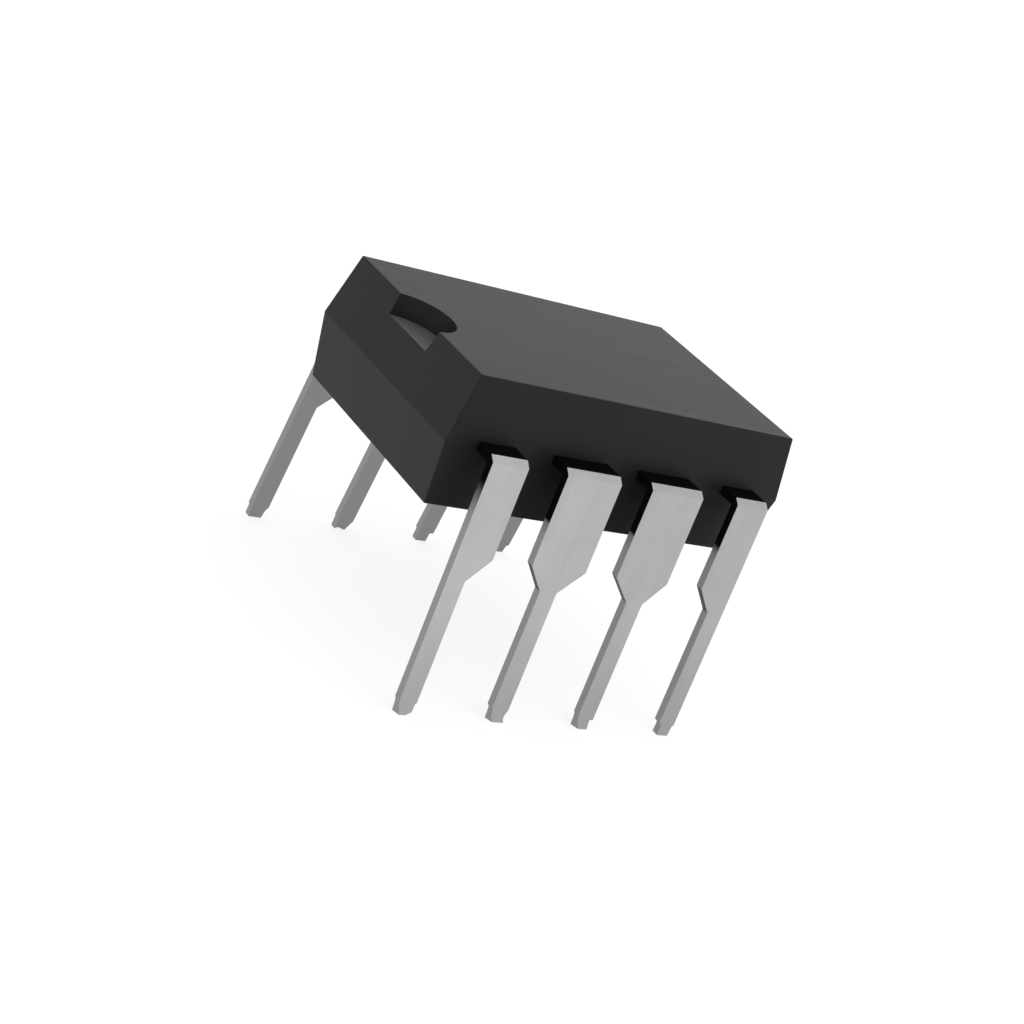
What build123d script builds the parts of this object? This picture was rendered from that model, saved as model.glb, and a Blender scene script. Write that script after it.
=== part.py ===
"""Eight-lead plastic dual in-line package with its sealed lead frame and die.

Frame: X runs along the package with the orientation notch at -X, Y across the
two lead rows, Z up.  The origin is midway between the rows and midway along
the body, in the plane of the eight lead tips.  Millimetres.
"""

import os

from build123d import *

os.makedirs("parts", exist_ok=True)

# ------------------------------------------------------------ dimensions
# Lead pattern
pitch = 2.54  # between neighbouring leads of one row
lead_t = 0.21  # thickness of the lead-frame strip
leg_w = 0.475  # width of the narrow leg
splay = 0.084  # outward run of a leg per unit of drop, 4.8 degrees

# Heights, measured from the lead tips
parting_z = 6.08  # mould parting plane
frame_top = parting_z + 0.14  # upper face of the lead-frame strip
frame_bottom = frame_top - lead_t
shoulder_z = parting_z - 2.176  # wide shoulder ends
neck_z = parting_z - 2.755  # narrow leg begins
point_z = 0.32  # the legs end in a narrower, thinner tab below this height
point_ramp = 0.12  # height over which the tab's inner face steps in
point_thin = 0.02  # step of the inner face

# Bend, seen from the side: distance from the centre plane between the rows
stub_end = 3.664  # flat top of the stub ends
bend_out = 3.827  # outer face of the leg begins
bend_drop = 0.122  # the bend facet falls by this much
bend_inner_r = 0.05

# Shoulders: reach to either side of the leg's centre line
inner_lead_out = 0.72  # toward the near end of the body
inner_lead_in = 0.81  # toward the middle of the body
end_lead_in = 0.73  # the end leads are stepped on this side only

# Body
body_l, body_w = 9.79, 6.25  # at the parting plane
top_l, top_w = 9.21, 5.96  # upper face
bottom_l, bottom_w = 9.26, 5.965  # lower face
half_up, half_down = 1.573, 1.572  # heights above and below the parting plane
edge_r = 0.03  # moulded edges

# Orientation notch
notch_x = -4.70
notch_r_top, notch_r_floor = 0.975, 0.91
notch_d = 0.52

# Inside the body
finger_root = 3.0  # the inner fingers join the stubs inside the body wall
lock_r = 0.22  # hole the resin grips
pad_l, pad_w = 2.90, 2.30
downset = 0.25  # die pad below the fingers
tie_w = 0.50
tie_reach = 4.55
glue_l, glue_w, glue_t = 1.72, 1.52, 0.025
die_l, die_w, die_t = 1.60, 1.40, 0.30
wire_r = 0.0165
loop_h, loop_r = 0.21, 0.07  # wire loop above the die and its corner radius
ball_r, ball_h = 0.042, 0.018
stitch_l, stitch_w, stitch_h = 0.11, 0.07, 0.012

top_z = parting_z + half_up
bottom_z = parting_z - half_down
pad_top = frame_top - downset
glue_top = pad_top + glue_t
die_top = glue_top + die_t

# Tabs left where each leg was cropped from its strip, as (X from the leg's
# centre line, height) down the -X edge, across the end and up the +X edge.
half_w = leg_w / 2
tabs = {
    1: [(-half_w, 0.33), (-0.216, 0.31), (-0.190, 0), (0.060, 0), (0.196, 0.09), (0.204, 0.28), (half_w, 0.32)],
    2: [(-half_w, 0.35), (-0.186, 0.28), (-0.178, 0), (0.225, 0), (0.180, 0.13), (0.188, 0.20), (half_w, 0.32)],
    3: [(-half_w, 0.34), (-0.208, 0.31), (-0.196, 0), (0.170, 0), (0.137, 0.25), (half_w, 0.26)],
    4: [(-half_w, 0.32), (-0.150, 0.27), (-0.158, 0), (0.168, 0), (0.196, 0.26), (half_w, 0.30)],
    5: [(-half_w, 0.32), (-0.196, 0.27), (-0.188, 0), (0.150, 0), (0.180, 0.20), (half_w, 0.24)],
    6: [(-half_w, 0.33), (-0.194, 0.27), (-0.188, 0), (0.132, 0), (0.138, 0.26), (half_w, 0.27)],
    7: [(-half_w, 0.33), (-0.206, 0.30), (-0.192, 0), (-0.120, 0.045), (-0.040, 0.040), (0.060, 0), (0.120, 0), (half_w, 0.27)],
    8: [(-half_w, 0.31), (-0.204, 0.27), (-0.192, 0), (0.164, 0), (0.204, 0.27), (half_w, 0.31)],
}

# On these tabs the -X flank is cropped askew: its outer edge lies this much
# further in than its inner edge.
skew = {1: 0.07, 2: 0.09, 3: 0.09}
skew_z = 0.25  # the skewed crop runs out at this height

# Lead number: centre of the leg in X, side of the body in Y
lead_places = {
    1: (-1.5 * pitch, -1),
    2: (-0.5 * pitch, -1),
    3: (0.5 * pitch, -1),
    4: (1.5 * pitch, -1),
    5: (1.5 * pitch, 1),
    6: (0.5 * pitch, 1),
    7: (-0.5 * pitch, 1),
    8: (-1.5 * pitch, 1),
}

# ------------------------------------------------------------ die pad
# Downset paddle with a tie bar to either end, cut from the same strip.
with BuildPart() as die_pad:
    with BuildSketch(Plane.XZ):
        with BuildLine():
            Polyline(
                (-tie_reach, frame_top),
                (-1.85, frame_top),
                (-1.60, pad_top),
                (1.60, pad_top),
                (1.85, frame_top),
                (tie_reach, frame_top),
                (tie_reach, frame_bottom),
                (1.93, frame_bottom),
                (1.68, pad_top - lead_t),
                (-1.68, pad_top - lead_t),
                (-1.93, frame_bottom),
                (-tie_reach, frame_bottom),
                close=True,
            )
        make_face()
    extrude(amount=tie_w / 2, both=True)
    with BuildSketch(Plane.XY.offset(pad_top - lead_t)):
        RectangleRounded(pad_l, pad_w, 0.12)
    extrude(amount=lead_t)
die_pad.part.label = "die_pad"
export_step(die_pad.part, "parts/die_pad.step")

# ------------------------------------------------------------ die attach
with BuildPart() as die_attach:
    with BuildSketch(Plane.XY.offset(pad_top)):
        RectangleRounded(glue_l, glue_w, 0.10)
    extrude(amount=glue_t)
die_attach.part.label = "die_attach"
export_step(die_attach.part, "parts/die_attach.step")

# ------------------------------------------------------------ silicon die
with BuildPart() as silicon_die:
    with BuildSketch(Plane.XY.offset(glue_top)):
        Rectangle(die_l, die_w)
    extrude(amount=die_t)
silicon_die.part.label = "silicon_die"
export_step(silicon_die.part, "parts/silicon_die.step")

# ------------------------------------------------------------ leads
leads = []
for number, (centre_x, side) in lead_places.items():
    end_sign = 1 if centre_x > 0 else -1  # which end of the body is nearer
    is_end = abs(centre_x) > pitch
    reach_out = leg_w / 2 if is_end else inner_lead_out
    reach_in = end_lead_in if is_end else inner_lead_in
    x_out = centre_x + end_sign * reach_out
    x_in = centre_x - end_sign * reach_in
    x_low, x_high = min(x_out, x_in), max(x_out, x_in)
    n_low, n_high = centre_x - leg_w / 2, centre_x + leg_w / 2

    def outer_y(z):
        """Distance of the leg's outer face from the centre plane at height z."""
        return bend_out + splay * (frame_top - bend_drop - z)

    face_t = lead_t * (1 + splay**2) ** 0.5  # strip thickness measured level

    with BuildPart() as lead:
        # Stub, bend facet, splayed leg and thinned tab, as one side section.
        with BuildSketch(Plane.YZ.offset(x_low)):
            with BuildLine():
                Polyline(
                    (side * finger_root, frame_top),
                    (side * stub_end, frame_top),
                    (side * bend_out, frame_top - bend_drop),
                    (side * outer_y(0), 0),
                    (side * (outer_y(0) - face_t + point_thin), 0),
                    (
                        side * (outer_y(point_z - point_ramp) - face_t + point_thin),
                        point_z - point_ramp,
                    ),
                    (side * (outer_y(point_z) - face_t), point_z),
                    (side * (outer_y(frame_bottom) - face_t), frame_bottom),
                    (side * finger_root, frame_bottom),
                    close=True,
                )
            make_face()
        extrude(amount=x_high - x_low)
        fillet(
            lead.edges()
            .filter_by(Axis.X)
            .sort_by_distance(
                (centre_x, side * (outer_y(frame_bottom) - face_t), frame_bottom)
            )[0],
            bend_inner_r,
        )

        # Front outline: shoulder, neck, narrow leg and tab.
        outline = [(x_low, frame_top + 1)]
        if x_low < n_low - 0.01:
            outline += [(x_low, shoulder_z), (n_low, neck_z)]
        outline += [(centre_x + x, z) for x, z in tabs[number]]
        if x_high > n_high + 0.01:
            outline += [(n_high, neck_z), (x_high, shoulder_z)]
        outline += [(x_high, frame_top + 1)]
        with BuildSketch(Plane.XZ):
            with BuildLine():
                Polyline(*outline, close=True)
            make_face()
        extrude(amount=10, both=True, mode=Mode.INTERSECT)

        # Skewed flank of the tab, fading out upward.
        if number in skew:
            edge_x = centre_x - 0.17
            inner_y, wall_y = outer_y(0) - face_t + point_thin, outer_y(0) + 0.02
            with BuildSketch(Plane.XY.offset(-0.01)):
                Polygon(
                    (edge_x - 0.03, side * inner_y),
                    (edge_x + skew[number], side * wall_y),
                    (edge_x - 0.20, side * wall_y),
                    (edge_x - 0.20, side * inner_y),
                    align=None,
                )
            with BuildSketch(Plane.XY.offset(skew_z)):
                Polygon(
                    (edge_x - 0.07, side * inner_y),
                    (edge_x - 0.03, side * wall_y),
                    (edge_x - 0.20, side * wall_y),
                    (edge_x - 0.20, side * inner_y),
                    align=None,
                )
            loft(mode=Mode.SUBTRACT)

        # Inner finger, flat in the strip.
        if is_end:
            finger = [
                (x_out * end_sign, finger_root),
                (x_out * end_sign, 2.25),
                (3.90, 2.05),
                (3.90, 0.90),
                (3.55, 0.55),
                (1.85, 0.55),
                (1.85, 1.08),
                (2.20, 1.20),
                (2.80, 1.75),
                (x_in * end_sign, 2.30),
                (x_in * end_sign, finger_root),
            ]
        else:
            finger = [
                (x_out * end_sign, finger_root),
                (x_out * end_sign, 2.75),
                (1.80, 2.45),
                (1.80, 1.45),
                (0.72, 1.45),
                (0.72, 2.45),
                (x_in * end_sign, 2.75),
                (x_in * end_sign, finger_root),
            ]
        with BuildSketch(Plane.XY.offset(frame_bottom)):
            with BuildLine():
                Polyline(*[(end_sign * x, side * y) for x, y in finger], close=True)
            make_face()
            with Locations(
                (end_sign * (3.40 if is_end else 1.26), side * (1.62 if is_end else 2.30))
            ):
                Circle(lock_r, mode=Mode.SUBTRACT)
        extrude(amount=lead_t)
    lead.part.label = f"lead_{number}"
    export_step(lead.part, f"parts/lead_{number}.step")
    leads.append(lead.part)

# ------------------------------------------------------------ bond wires
# Ball on the die, a looped wire, and a flattened stitch on the inner finger.
wires = []
for number, (centre_x, side) in lead_places.items():
    end_sign = 1 if centre_x > 0 else -1
    if abs(centre_x) > pitch:
        ball = Vector(end_sign * 0.62, side * 0.40, die_top)
        stitch = Vector(end_sign * 2.05, side * 0.80, frame_top)
    else:
        ball = Vector(end_sign * 0.34, side * 0.56, die_top)
        stitch = Vector(end_sign * 1.12, side * 1.66, frame_top)
    run = Vector(stitch.X - ball.X, stitch.Y - ball.Y, 0)
    along = run.normalized()
    upright = Plane(origin=ball, x_dir=along, z_dir=along.cross(Vector(0, 0, 1)))
    with BuildPart() as bond_wire:
        with BuildLine(upright):
            FilletPolyline(
                (0, ball_h / 2),
                (0, loop_h),
                (0.45 * run.length, loop_h - 0.02),
                (run.length + 0.03, frame_top - die_top - 0.02),
                radius=loop_r,
            )
        with BuildSketch(Plane(ball + Vector(0, 0, ball_h / 2), z_dir=(0, 0, 1))):
            Circle(wire_r)
        sweep()
        split(bisect_by=Plane.XY.offset(frame_top), keep=Keep.TOP)
        with Locations(ball):
            Cylinder(
                ball_r, ball_h, align=(Align.CENTER, Align.CENTER, Align.MIN)
            )
        with BuildSketch(Plane(stitch, x_dir=along, z_dir=(0, 0, 1))):
            Ellipse(stitch_l / 2, stitch_w / 2)
        extrude(amount=stitch_h)
    bond_wire.part.label = f"bond_wire_{number}"
    export_step(bond_wire.part, f"parts/bond_wire_{number}.step")
    wires.append(bond_wire.part)

# ------------------------------------------------------------ moulded body
# Two drafted mould halves meeting at the parting plane, closed around the
# lead frame, the die and the wires.
with BuildPart() as moulded_body:
    with BuildSketch(Plane.XY.offset(parting_z)):
        Rectangle(body_l, body_w)
    with BuildSketch(Plane.XY.offset(top_z)):
        Rectangle(top_l, top_w)
    loft()
    with BuildSketch(Plane.XY.offset(bottom_z)):
        Rectangle(bottom_l, bottom_w)
    with BuildSketch(Plane.XY.offset(parting_z)):
        Rectangle(body_l, body_w)
    loft()
    corners = [
        edge
        for edge in moulded_body.edges()
        if abs(edge.tangent_at(0.5).Z) > 0.5
    ]
    fillet(corners, edge_r)
    fillet(moulded_body.faces().sort_by(Axis.Z)[-1].edges(), edge_r)
    fillet(moulded_body.faces().sort_by(Axis.Z)[0].edges(), edge_r)
    with Locations((notch_x, 0, top_z)):
        Cone(
            notch_r_floor,
            notch_r_top,
            notch_d,
            align=(Align.CENTER, Align.CENTER, Align.MAX),
            mode=Mode.SUBTRACT,
        )
    for insert in (die_pad.part, die_attach.part, silicon_die.part, *leads, *wires):
        add(insert, mode=Mode.SUBTRACT)
moulded_body.part.label = "moulded_body"
export_step(moulded_body.part, "parts/moulded_body.step")
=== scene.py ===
"""Looks for the eight-lead dual in-line package.  Everything is in metres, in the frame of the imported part."""

import math

import bpy
from mathutils import Matrix, Vector

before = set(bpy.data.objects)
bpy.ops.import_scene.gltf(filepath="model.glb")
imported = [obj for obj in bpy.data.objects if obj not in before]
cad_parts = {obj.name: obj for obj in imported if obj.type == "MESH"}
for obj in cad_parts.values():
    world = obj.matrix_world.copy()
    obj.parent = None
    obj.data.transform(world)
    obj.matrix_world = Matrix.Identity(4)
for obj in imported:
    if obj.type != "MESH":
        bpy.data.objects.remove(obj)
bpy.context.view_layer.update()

MM = 0.001
PARTING = 6.08 * MM  # height of the mould parting plane above the lead tips


# ------------------------------------------------------------------ helpers
class Mat:
    """A small node-tree writer."""

    def __init__(self, name):
        self.mat = bpy.data.materials.new(name)
        self.mat.use_nodes = True
        self.nt = self.mat.node_tree
        self.nt.nodes.clear()
        self.out = self.add("ShaderNodeOutputMaterial")
        self.bsdf = self.add("ShaderNodeBsdfPrincipled")
        self.link(self.bsdf.outputs["BSDF"], self.out.inputs["Surface"])
        self.coord = self.add("ShaderNodeTexCoord")

    def add(self, kind, **props):
        node = self.nt.nodes.new(kind)
        for key, value in props.items():
            setattr(node, key, value)
        return node

    def link(self, a, b):
        self.nt.links.new(a, b)

    def plug(self, socket, value):
        if isinstance(value, bpy.types.NodeSocket):
            self.link(value, socket)
        else:
            socket.default_value = value

    def math(self, op, a, b=0.0, c=0.0, clamp=False):
        node = self.add("ShaderNodeMath", operation=op, use_clamp=clamp)
        for i, value in enumerate((a, b, c)):
            self.plug(node.inputs[i], value)
        return node.outputs[0]

    def vmath(self, op, a, b=(0, 0, 0)):
        node = self.add("ShaderNodeVectorMath", operation=op)
        self.plug(node.inputs[0], a)
        self.plug(node.inputs[1], b)
        return node.outputs[1] if op in ("DOT_PRODUCT", "LENGTH", "DISTANCE") else node.outputs[0]

    def split(self, vector):
        node = self.add("ShaderNodeSeparateXYZ")
        self.link(vector, node.inputs[0])
        return node.outputs[0], node.outputs[1], node.outputs[2]

    def scaled(self, sx, sy, sz):
        """Object coordinates with each axis multiplied: cells per metre."""
        return self.vmath("MULTIPLY", self.coord.outputs["Object"], (sx, sy, sz))

    def noise(self, vector, scale=1.0, detail=2.0, rough=0.5, distortion=0.0):
        node = self.add("ShaderNodeTexNoise")
        self.link(vector, node.inputs["Vector"])
        node.inputs["Scale"].default_value = scale
        node.inputs["Detail"].default_value = detail
        node.inputs["Roughness"].default_value = rough
        node.inputs["Distortion"].default_value = distortion
        return node.outputs["Fac"]

    def ramp(self, value, lo, hi, a=0.0, b=1.0):
        """Smooth step from a to b as value goes from lo to hi."""
        node = self.add("ShaderNodeMapRange", interpolation_type="SMOOTHSTEP")
        self.plug(node.inputs["Value"], value)
        node.inputs["From Min"].default_value = lo
        node.inputs["From Max"].default_value = hi
        node.inputs["To Min"].default_value = a
        node.inputs["To Max"].default_value = b
        return node.outputs["Result"]

    def mix(self, fac, a, b):
        node = self.add("ShaderNodeMix", data_type="RGBA")
        self.plug(node.inputs["Factor"], fac)
        for socket, value in ((node.inputs[6], a), (node.inputs[7], b)):
            if isinstance(value, bpy.types.NodeSocket):
                self.link(value, socket)
            else:
                socket.default_value = (*value[:3], 1.0)
        return node.outputs[2]

    def bump(self, height, distance, strength=1.0, normal=None):
        node = self.add("ShaderNodeBump")
        self.link(height, node.inputs["Height"])
        node.inputs["Distance"].default_value = distance
        node.inputs["Strength"].default_value = strength
        if normal is not None:
            self.link(normal, node.inputs["Normal"])
        return node.outputs["Normal"]

    def normal(self, value):
        self.link(value, self.bsdf.inputs["Normal"])


def grey(v):
    return (v, v, v)


def dress(node, mat):
    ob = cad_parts[node]
    slots = ob.material_slots
    if len(slots) == 0:
        ob.data.materials.append(mat)
    for slot in ob.material_slots:
        slot.link = "OBJECT"
        slot.material = mat


# ------------------------------------------------------------------ moulding resin
def resin():
    m = Mat("moulding_resin")
    x, y, z = m.split(m.coord.outputs["Object"])
    # Long faint flow lines along the body, as the moulding leaves them.
    streak = m.noise(m.scaled(160, 5200, 1800), 1.0, 3.0, 0.55)
    fine_streak = m.noise(m.scaled(420, 14000, 5200), 1.0, 2.0, 0.5)
    cloud = m.noise(m.scaled(420, 420, 420), 1.0, 3.0, 0.5)
    grain = m.noise(m.scaled(36000, 36000, 36000), 1.0, 2.0, 0.6)
    pits = m.noise(m.scaled(9000, 9000, 9000), 1.0, 3.0, 0.65)
    tone = m.math("ADD", m.math("MULTIPLY", streak, 0.45), m.math("MULTIPLY", cloud, 0.35))
    tone = m.math("ADD", tone, m.math("MULTIPLY", grain, 0.20))
    colour = m.mix(m.ramp(tone, 0.25, 0.75), (0.0076, 0.0076, 0.0078), (0.0104, 0.0104, 0.0106))
    # Painted light: the floor of the notch is painted paler than the faces round it, for the light it catches.
    _, _, nz = m.split(m.coord.outputs["Normal"])
    low = m.ramp(z, PARTING + 1.20 * MM, PARTING + 1.10 * MM)
    low = m.math("MULTIPLY", low, m.ramp(z, PARTING + 0.90 * MM, PARTING + 1.00 * MM))
    notch_painted_light = m.math("MULTIPLY", m.ramp(nz, 0.90, 0.98), low)
    colour = m.mix(notch_painted_light, colour, (0.083, 0.083, 0.084))
    m.link(colour, m.bsdf.inputs["Base Color"])
    rough = m.math("ADD", 0.44, m.math("MULTIPLY", m.math("SUBTRACT", streak, 0.5), 0.08))
    rough = m.math("ADD", rough, m.math("MULTIPLY", m.math("SUBTRACT", grain, 0.5), 0.10))
    m.link(rough, m.bsdf.inputs["Roughness"])
    m.bsdf.inputs["IOR"].default_value = 1.25
    height = m.math("ADD", m.math("MULTIPLY", grain, 0.55), m.math("MULTIPLY", pits, 0.45))
    height = m.math("ADD", height, m.math("MULTIPLY", fine_streak, 0.10))
    m.normal(m.bump(height, 0.004 * MM, 0.55))
    return m.mat


# ------------------------------------------------------------------ tinned leads
def tinned(name, seed, tone_of_lead, shade_low, shade_high):
    m = Mat(name)
    obj = m.coord.outputs["Object"]
    x, y, z = m.split(obj)
    n = m.coord.outputs["Normal"]
    nx, ny, nz = m.split(n)
    side = m.math("SIGN", y)
    outward = m.math("MULTIPLY", ny, side)  # +1 on the outer face of either row
    # Fine drawing lines down the strip, a different patch on each lead.
    base = m.vmath("ADD", obj, (seed * 0.0137, seed * 0.0071, seed * 0.0193))
    lines = m.noise(m.vmath("MULTIPLY", base, (26000, 26000, 420)), 1.0, 3.0, 0.6)
    broad = m.noise(m.vmath("MULTIPLY", base, (2600, 2600, 260)), 1.0, 2.0, 0.5)
    grain = m.noise(m.vmath("MULTIPLY", base, (30000, 30000, 30000)), 1.0, 2.0, 0.6)
    mott = m.noise(m.vmath("MULTIPLY", base, (1500, 1500, 1500)), 1.0, 3.0, 0.55)

    tone = m.math("ADD", m.math("MULTIPLY", lines, 0.3), m.math("MULTIPLY", broad, 0.4))
    tone = m.math("ADD", tone, m.math("MULTIPLY", mott, 0.3))
    tin = m.mix(m.ramp(tone, 0.30, 0.70), (0.425, 0.425, 0.423), (0.480, 0.480, 0.478))
    # Sheared side faces are duller than the rolled ones; their colour is also painted darker, as painted shade
    # on the side facets.
    sheared_dull_and_shaded = m.ramp(m.math("ABSOLUTE", nx), 0.55, 0.85)
    tin = m.mix(m.math("MULTIPLY", sheared_dull_and_shaded, 0.85), tin, (0.245, 0.245, 0.245))
    # Painted shade: the legs are painted darker toward the tips.
    tin = m.mix(m.ramp(z, 3.6 * MM, 0.0, 0.0, 0.52), tin, (0.30, 0.30, 0.30))

    # Painted shade: the faces turned to the middle of the part are painted darker, for the shade of the body
    # between the rows.
    inner_painted_shade = m.ramp(outward, -0.35, -0.70)
    tin = m.mix(m.math("MULTIPLY", inner_painted_shade, 0.75), tin, (0.21, 0.21, 0.21))
    # Painted shade: the cropped undersides of the shoulders are painted near-black, for the shade beneath them.
    underside_painted_shade = m.math("MULTIPLY", m.ramp(nz, -0.20, -0.45), m.ramp(m.math("ABSOLUTE", nx), 0.35, 0.55))
    underside_painted_shade = m.math("MULTIPLY", underside_painted_shade, m.ramp(z, 2.9 * MM, 3.2 * MM))
    tin = m.mix(m.math("MULTIPLY", underside_painted_shade, 0.97), tin, (0.010, 0.010, 0.010))
    tin = m.mix(1.0 - tone_of_lead, tin, (0.0, 0.0, 0.0))

    # Painted shade: near-black painted over the stub tops and down the flanks beside the body, where the body
    # shades the leads.
    off_outer = m.ramp(outward, 0.10, 0.40, 1.0, 0.0)
    flank = m.ramp(z, PARTING - shade_low * MM, PARTING - shade_high * MM)
    top = m.ramp(nz, 0.90, 0.97)
    painted_shade = m.math("MULTIPLY", off_outer, flank)
    painted_shade = m.math("MAXIMUM", painted_shade, top)
    painted_shade = m.math("MULTIPLY", painted_shade, m.ramp(z, 3.0 * MM, 3.5 * MM))
    colour = m.mix(painted_shade, tin, (0.0025, 0.0025, 0.0027))
    m.link(colour, m.bsdf.inputs["Base Color"])
    m.link(m.math("SUBTRACT", 1.0, painted_shade), m.bsdf.inputs["Metallic"])
    rough = m.math("ADD", 0.40, m.math("MULTIPLY", m.math("SUBTRACT", lines, 0.5), 0.22))
    rough = m.math("ADD", rough, m.math("MULTIPLY", m.math("SUBTRACT", mott, 0.5), 0.12))
    rough = m.math("ADD", rough, m.math("MULTIPLY", sheared_dull_and_shaded, 0.08))
    rough = m.math("ADD", rough, m.math("MULTIPLY", painted_shade, 0.25))
    m.link(rough, m.bsdf.inputs["Roughness"])
    m.bsdf.inputs["IOR"].default_value = 1.08
    height = m.math("ADD", m.math("MULTIPLY", lines, 0.6), m.math("MULTIPLY", grain, 0.4))
    m.normal(m.bump(height, 0.0022 * MM, 0.5))
    return m.mat


# ------------------------------------------------------------------ sealed pieces
def copper_strip():
    m = Mat("frame_metal")
    lines = m.noise(m.scaled(500, 24000, 24000), 1.0, 3.0, 0.6)
    mott = m.noise(m.scaled(1600, 1600, 1600), 1.0, 3.0, 0.5)
    colour = m.mix(m.ramp(mott, 0.3, 0.7), (0.56, 0.36, 0.24), (0.68, 0.46, 0.33))
    m.link(colour, m.bsdf.inputs["Base Color"])
    m.bsdf.inputs["Metallic"].default_value = 1.0
    m.link(m.math("ADD", 0.28, m.math("MULTIPLY", lines, 0.16)), m.bsdf.inputs["Roughness"])
    m.normal(m.bump(lines, 0.002 * MM, 0.5))
    return m.mat


def adhesive():
    m = Mat("die_adhesive")
    flakes = m.noise(m.scaled(42000, 42000, 42000), 1.0, 2.0, 0.7)
    colour = m.mix(m.ramp(flakes, 0.35, 0.7), (0.30, 0.295, 0.28), (0.62, 0.61, 0.58))
    m.link(colour, m.bsdf.inputs["Base Color"])
    m.link(m.ramp(flakes, 0.3, 0.7, 0.70, 0.35), m.bsdf.inputs["Roughness"])
    m.link(m.ramp(flakes, 0.45, 0.75, 0.0, 0.8), m.bsdf.inputs["Metallic"])
    m.normal(m.bump(flakes, 0.003 * MM, 0.6))
    return m.mat


def silicon():
    m = Mat("silicon")
    obj = m.coord.outputs["Object"]
    x, y, z = m.split(obj)
    brick = m.add("ShaderNodeTexBrick")
    m.link(m.scaled(9000, 9000, 9000), brick.inputs["Vector"])
    brick.inputs["Scale"].default_value = 1.0
    brick.inputs["Mortar Size"].default_value = 0.06
    brick.inputs["Color1"].default_value = (0.10, 0.16, 0.24, 1)
    brick.inputs["Color2"].default_value = (0.22, 0.17, 0.28, 1)
    brick.inputs["Mortar"].default_value = (0.55, 0.50, 0.36, 1)
    cells = m.add("ShaderNodeTexVoronoi", distance="CHEBYCHEV")
    m.link(m.scaled(5200, 5200, 5200), cells.inputs["Vector"])
    cells.inputs["Scale"].default_value = 1.0
    blocks = m.mix(m.ramp(cells.outputs["Distance"], 0.30, 0.34), brick.outputs["Color"], (0.13, 0.22, 0.20))
    _, _, nz = m.split(m.coord.outputs["Normal"])
    colour = m.mix(m.ramp(nz, 0.8, 0.95), (0.16, 0.16, 0.17), blocks)
    m.link(colour, m.bsdf.inputs["Base Color"])
    m.bsdf.inputs["Metallic"].default_value = 0.55
    m.link(m.ramp(nz, 0.8, 0.95, 0.42, 0.16), m.bsdf.inputs["Roughness"])
    return m.mat


def gold():
    m = Mat("gold_wire")
    draw = m.noise(m.scaled(9000, 9000, 30000), 1.0, 2.0, 0.5)
    colour = m.mix(draw, (0.83, 0.58, 0.20), (0.93, 0.70, 0.32))
    m.link(colour, m.bsdf.inputs["Base Color"])
    m.bsdf.inputs["Metallic"].default_value = 1.0
    m.link(m.math("ADD", 0.16, m.math("MULTIPLY", draw, 0.12)), m.bsdf.inputs["Roughness"])
    return m.mat


LEAD_TONE = {1: 1.0, 2: 0.955, 3: 0.91, 4: 0.885, 5: 0.93, 6: 0.95, 7: 0.97, 8: 0.95}
FLANK_SHADE_REACH = {i: (1.18, 1.06) for i in range(1, 9)}  # where the painted shade ends on each lead's flanks
FLANK_SHADE_REACH[1] = (1.12, 0.42)
FLANK_SHADE_REACH[2] = (1.18, 1.08)
FLANK_SHADE_REACH[3] = (1.17, 1.07)
FLANK_SHADE_REACH[4] = (1.25, 1.05)
dress("moulded_body", resin())
for i in range(1, 9):
    dress(f"lead_{i}", tinned(f"tinned_lead_{i}", i, LEAD_TONE[i], *FLANK_SHADE_REACH[i]))
dress("die_pad", copper_strip())
dress("die_attach", adhesive())
dress("silicon_die", silicon())
gold_mat = gold()
for i in range(1, 9):
    dress(f"bond_wire_{i}", gold_mat)

# Stamped edges are broken by a hair.
for i in range(1, 9):
    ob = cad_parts[f"lead_{i}"]
    bevel = ob.modifiers.new("broken_edges", "BEVEL")
    bevel.width = 0.010 * MM
    bevel.segments = 2
    bevel.limit_method = "ANGLE"
    bevel.angle_limit = math.radians(35)
    bevel.harden_normals = True

# ------------------------------------------------------------------ floor and light
def floor_material():
    m = Mat("pale_floor")
    n = m.noise(m.scaled(60, 60, 60), 1.0, 3.0, 0.5)
    m.link(m.mix(n, (0.21, 0.21, 0.21), (0.23, 0.23, 0.23)), m.bsdf.inputs["Base Color"])
    m.bsdf.inputs["Emission Color"].default_value = (1.0, 1.0, 1.0, 1.0)
    m.bsdf.inputs["Emission Strength"].default_value = 0.81
    m.bsdf.inputs["Roughness"].default_value = 0.9
    m.bsdf.inputs["Specular IOR Level"].default_value = 0.1
    return m.mat


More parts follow.
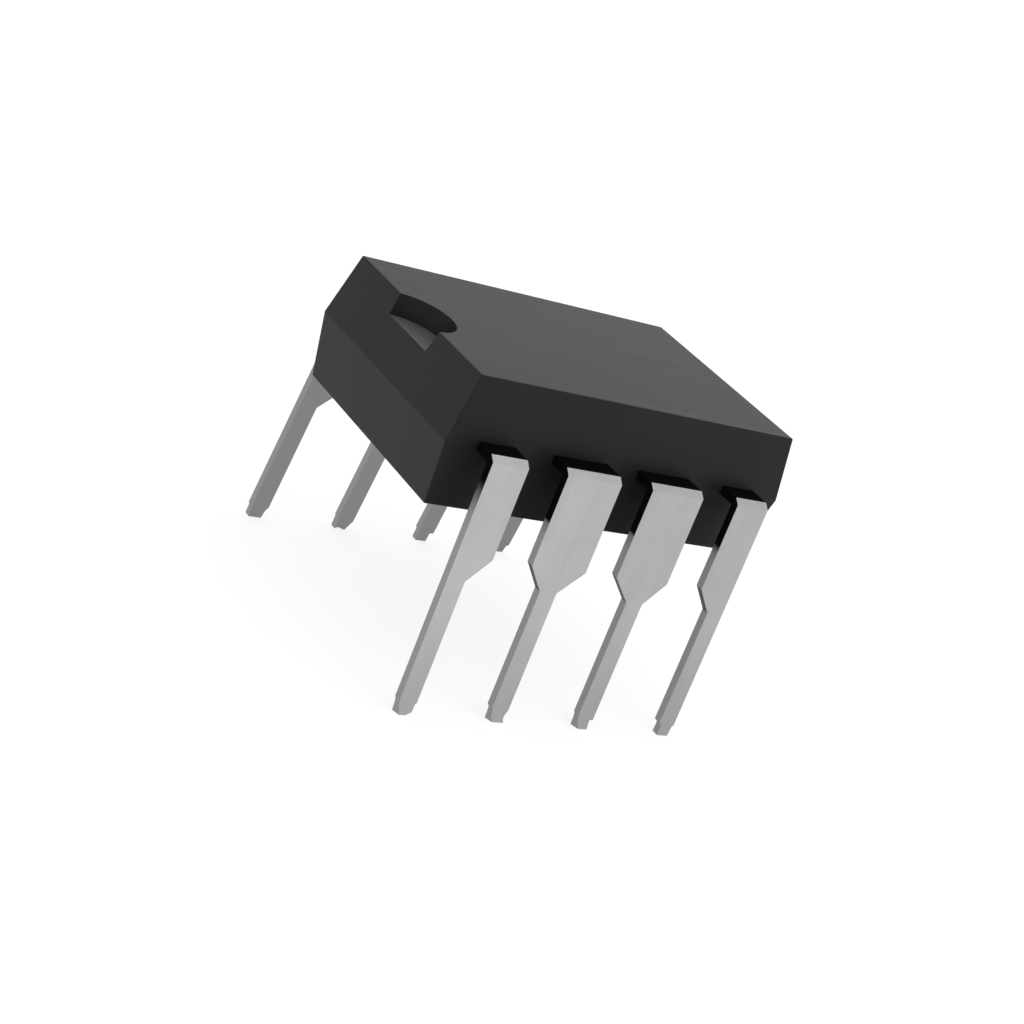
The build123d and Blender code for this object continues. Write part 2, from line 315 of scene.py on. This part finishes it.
mesh = bpy.data.meshes.new("floor")
S = 3.0
mesh.from_pydata([(-S, -S, 0), (S, -S, 0), (S, S, 0), (-S, S, 0)], [], [(0, 1, 2, 3)])
floor = bpy.data.objects.new("floor", mesh)
floor.location = (0, 0, -0.00002)
floor.data.materials.append(floor_material())
bpy.context.scene.collection.objects.link(floor)

world = bpy.data.worlds.new("studio")
world.use_nodes = True
world.node_tree.nodes["Background"].inputs["Color"].default_value = (1.0, 1.0, 1.0, 1.0)
world.node_tree.nodes["Background"].inputs["Strength"].default_value = 1.0
bpy.context.scene.world = world


def area(name, pos, target, size, power, size_y=None):
    light = bpy.data.lights.new(name, "AREA")
    light.energy = power
    light.size = size
    if size_y:
        light.shape = "RECTANGLE"
        light.size_y = size_y
    ob = bpy.data.objects.new(name, light)
    ob.location = pos
    ob.rotation_euler = (Vector(target) - Vector(pos)).to_track_quat("-Z", "Y").to_euler()
    bpy.context.scene.collection.objects.link(ob)
    return ob


centre = (0.0, 0.0, 0.005)
area("key", (0.03, -0.14, 0.10), centre, 0.12, 0.05)

area("back", (0.24, 0.29, 0.14), centre, 0.30, 0.045)

# ------------------------------------------------------------------ camera
right = Vector((0.7872355, -0.4718137, 0.3970542))
down = Vector((0.1239191, -0.5097106, -0.8513748))
ahead = Vector((0.6040731, 0.7194351, -0.3427956))
ahead = (ahead - right * (0.36 / 2057.0) - down * (0.45 / 2057.0)).normalized()
right = (right - ahead * right.dot(ahead)).normalized()
down = ahead.cross(right)
cam_data = bpy.data.cameras.new("camera")
cam_data.sensor_width = 36.0
cam_data.lens = 2057.33 * 36.0 / 1024.0
cam_data.clip_start = 0.001
cam_data.clip_end = 20.0
camera = bpy.data.objects.new("camera", cam_data)
rot = Matrix((right, -down, -ahead)).transposed().to_4x4()
camera.matrix_world = Matrix.Translation(
    Vector((-29.69400, -35.62527, 14.09718 + 6.08)) * MM
) @ rot
bpy.context.scene.collection.objects.link(camera)
bpy.context.scene.camera = camera

scene = bpy.context.scene
scene.view_settings.view_transform = "Standard"
scene.view_settings.look = "None"
scene.view_settings.exposure = 0.0
scene.view_settings.gamma = 1.0
